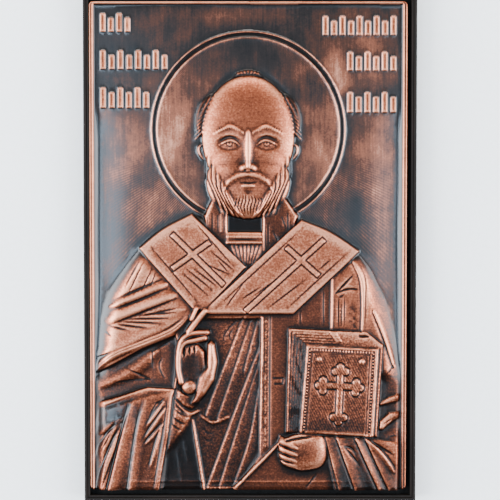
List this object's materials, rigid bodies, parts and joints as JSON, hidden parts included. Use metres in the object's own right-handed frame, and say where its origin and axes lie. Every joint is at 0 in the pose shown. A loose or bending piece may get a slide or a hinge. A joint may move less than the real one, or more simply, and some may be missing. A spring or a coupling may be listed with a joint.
{
  "type": "icon panel",
  "caption": "Devotional panel in pressed copper: a bearded bishop saint with halo, blessing hand and closed book, on a black backing in a narrow dark wooden frame.",
  "frame": {"origin": "middle of the back, on the surface that the panel lies on", "axes": "+X to the right of the picture, +Y up the picture, +Z out of its face"},
  "size_m": [0.216, 0.332, 0.0231],
  "materials": {
    "dark_wood": "brown-black stained wood with a low sheen",
    "black_backing": "matt black",
    "rubbed_copper": "pressed copper sheet with a dark patina rubbed back on the high parts, lacquered"
  },
  "bodies": {
    "root": {"wooden_frame": "dark_wood", "backing_panel": "black_backing", "copper_relief": "rubbed_copper"}
  },
  "joints": []
}
